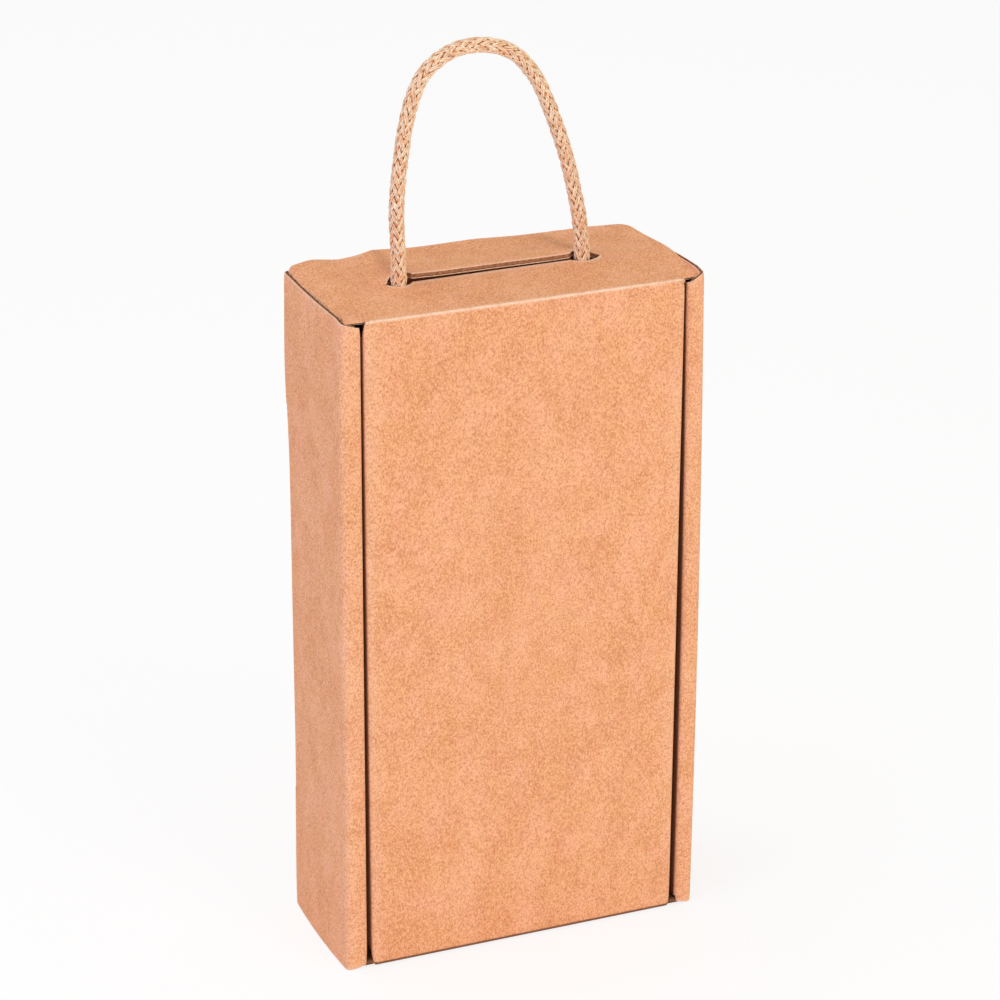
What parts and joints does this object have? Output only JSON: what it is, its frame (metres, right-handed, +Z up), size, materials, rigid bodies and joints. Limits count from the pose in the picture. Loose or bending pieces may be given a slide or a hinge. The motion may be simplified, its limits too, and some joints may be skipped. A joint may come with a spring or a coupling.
{
  "type": "bottle shipping box",
  "caption": "Upright corrugated carton for bottles, with a fold-down front lid, a flap over the top and a rope handle through its slit.",
  "frame": {"origin": "middle of the underside of the carton", "axes": "+Z up, -Y out of the lid, +X to the right of someone who faces the lid"},
  "size_m": [0.204, 0.084, 0.5121],
  "materials": {
    "board": "plain brown kraft liner, matt",
    "divider_board": "plain brown kraft liner, matt",
    "rope": "braided natural fibre"
  },
  "bodies": {
    "carton": {"tray": "board", "rope_handle": "rope", "knot_left": "rope", "knot_right": "rope", "bottle_divider": "divider_board"},
    "lid": {"lid": "board"},
    "flap": {"top_flap": "board"}
  },
  "joints": [
    {"name": "lid_swing", "type": "hinge", "parent": "carton", "child": "lid", "pos_m": [0, -0.0405, 0.0015], "axis": [1, 0, 0], "range_deg": [0, 90]},
    {"name": "flap_lift", "type": "hinge", "parent": "lid", "child": "flap", "pos_m": [0, -0.0405, 0.3785], "axis": [1, 0, 0], "range_deg": [0, 95], "deforming": ["rope_handle"]}
  ]
}
